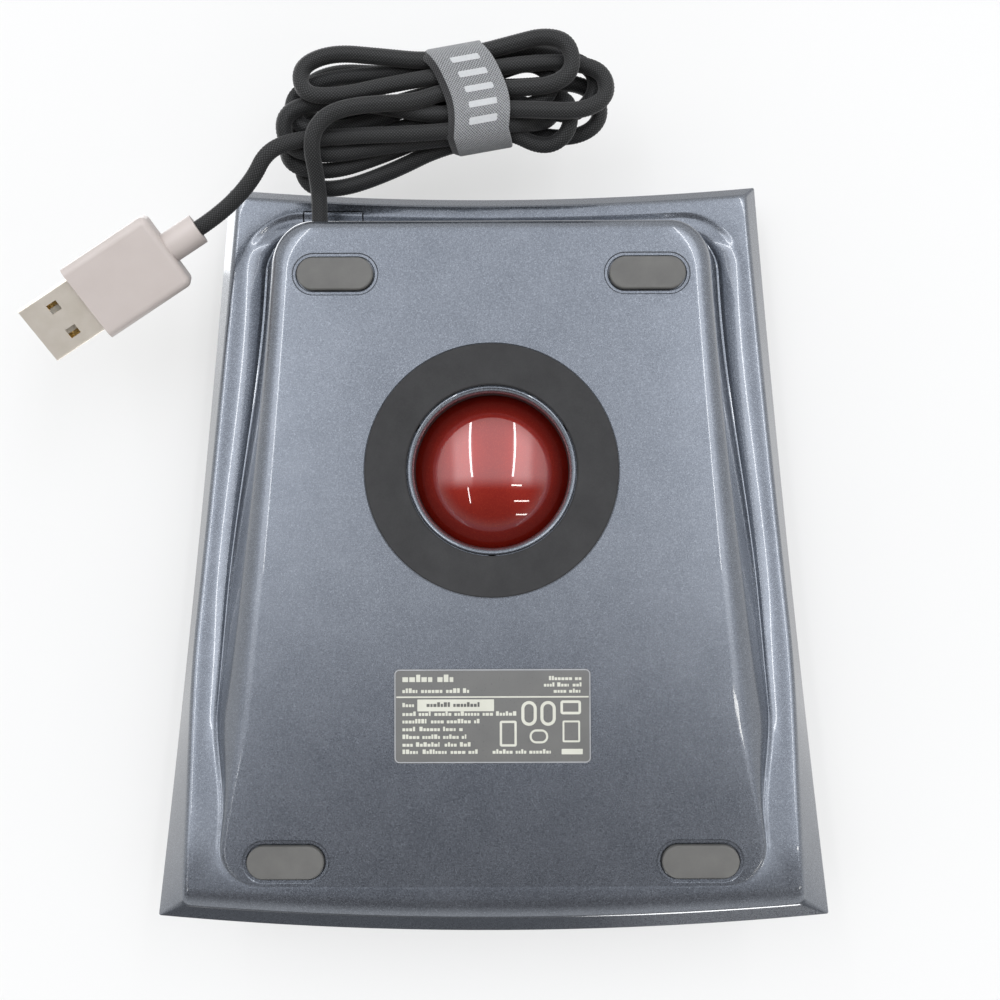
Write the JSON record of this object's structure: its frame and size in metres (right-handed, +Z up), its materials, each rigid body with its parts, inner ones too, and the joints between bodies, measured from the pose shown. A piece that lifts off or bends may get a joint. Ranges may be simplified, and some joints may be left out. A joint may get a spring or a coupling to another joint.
{
  "type": "trackball mouse",
  "caption": "Wired desktop trackball: thin tilted plate on a wedge base, large red ball in the middle, buttons round it, braided cord in a tied hank.",
  "frame": {"origin": "under the middle of the body on the desk plane, between the feet", "axes": "+Z up out of the ball's top, +X to the user's right, +Y to the rear edge where the cord leaves"},
  "size_m": [0.161, 0.1794, 0.058],
  "materials": {
    "housing": "metallic grey lacquer",
    "bezel": "satin metallic",
    "inner_frame": "black moulding",
    "cup": "black gloss",
    "ball_red": "deep red, polished",
    "ceramic": "polished ceramic",
    "grip_rubber": "matte",
    "foot_pad": "matte",
    "label": "satin film",
    "steel": "plain",
    "circuit_board": "solder resist",
    "chip": "black moulding",
    "clear_lens": "clear",
    "connector": "white nylon",
    "ribbon": "vinyl",
    "braid": "braided sleeve",
    "tie_weave": "woven hook and loop",
    "plug_grip": "soft satin",
    "plug_metal": "nickel plated",
    "contact_gold": "gold plated"
  },
  "bodies": {
    "housing": {"ball_bezel": "bezel", "ball_cup": "cup", "bearing_balls": "ceramic", "board_link_cable": "ribbon", "board_screws": "steel", "bottom_cover": "housing", "button_hinge_pins": "steel", "cable_exit_cover": "housing", "cable_grommet": "grip_rubber", "cable_header": "connector", "cable_inner_lead": "ribbon", "cable_tie": "tie_weave", "case_screws": "steel", "controller_chip": "chip", "cord_hank": "braid", "cord_lead": "braid", "cord_tail": "braid", "cup_screws": "steel", "foot_front_left": "foot_pad", "foot_front_right": "foot_pad", "foot_rear_left": "foot_pad", "foot_rear_right": "foot_pad", "front_board": "circuit_board", "main_board": "circuit_board", "plug_contacts": "contact_gold", "plug_insert": "connector", "plug_overmold": "plug_grip", "plug_shell": "plug_metal", "rating_label": "label", "ring_pad": "grip_rubber", "sensor_board_left": "circuit_board", "sensor_board_right": "circuit_board", "sensor_chip_left": "chip", "sensor_chip_right": "chip", "sensor_lens_left": "clear_lens", "sensor_lens_right": "clear_lens", "switch_front_left": "chip", "switch_front_right": "chip", "switch_rear_left": "chip", "switch_rear_right": "chip", "top_frame": "inner_frame"},
    "ball": {"ball": "ball_red"},
    "button_front_left": {"button_front_left": "housing"},
    "plunger_front_left": {"plunger_front_left": "connector"},
    "button_front_right": {"button_front_right": "housing"},
    "plunger_front_right": {"plunger_front_right": "connector"},
    "button_rear_left": {"button_rear_left": "housing"},
    "plunger_rear_left": {"plunger_rear_left": "connector"},
    "button_rear_right": {"button_rear_right": "housing"},
    "plunger_rear_right": {"plunger_rear_right": "connector"}
  },
  "joints": [
    {"name": "ball_roll", "type": "hinge", "parent": "housing", "child": "ball", "pos_m": [0, 0.0146, 0.0305], "axis": [1, 0, 0], "continuous": true},
    {"name": "button_front_left_press", "type": "hinge", "parent": "housing", "child": "button_front_left", "pos_m": [-0.044, 0.0095, 0.01856], "axis": [1, 0, 0], "range_deg": [0, 0.55], "stiffness_Nm_per_rad": 0.6, "springref_deg": -2.86},
    {"name": "plunger_front_left_travel", "type": "slide", "parent": "housing", "child": "plunger_front_left", "axis": [0, 0, -1], "range_m": [0, 0.0006]},
    {"name": "button_front_right_press", "type": "hinge", "parent": "housing", "child": "button_front_right", "pos_m": [0.044, 0.0095, 0.01856], "axis": [1, 0, 0], "range_deg": [0, 0.55], "stiffness_Nm_per_rad": 0.6, "springref_deg": -2.86},
    {"name": "plunger_front_right_travel", "type": "slide", "parent": "housing", "child": "plunger_front_right", "axis": [0, 0, -1], "range_m": [0, 0.0006]},
    {"name": "button_rear_left_press", "type": "hinge", "parent": "housing", "child": "button_rear_left", "pos_m": [-0.044, 0.0197, 0.01965], "axis": [-1, 0, 0], "range_deg": [0, 0.8], "stiffness_Nm_per_rad": 0.6, "springref_deg": -2.86},
    {"name": "plunger_rear_left_travel", "type": "slide", "parent": "housing", "child": "plunger_rear_left", "axis": [0, 0, -1], "range_m": [0, 0.0006]},
    {"name": "button_rear_right_press", "type": "hinge", "parent": "housing", "child": "button_rear_right", "pos_m": [0.044, 0.0197, 0.01965], "axis": [-1, 0, 0], "range_deg": [0, 0.8], "stiffness_Nm_per_rad": 0.6, "springref_deg": -2.86},
    {"name": "plunger_rear_right_travel", "type": "slide", "parent": "housing", "child": "plunger_rear_right", "axis": [0, 0, -1], "range_m": [0, 0.0006]}
  ],
  "couplings": [
    {"joint": "plunger_front_left_travel", "follows": "button_front_left_press", "m_per_rad": 0.0515},
    {"joint": "plunger_front_right_travel", "follows": "button_front_right_press", "m_per_rad": 0.0515},
    {"joint": "plunger_rear_left_travel", "follows": "button_rear_left_press", "m_per_rad": 0.035},
    {"joint": "plunger_rear_right_travel", "follows": "button_rear_right_press", "m_per_rad": 0.035}
  ]
}
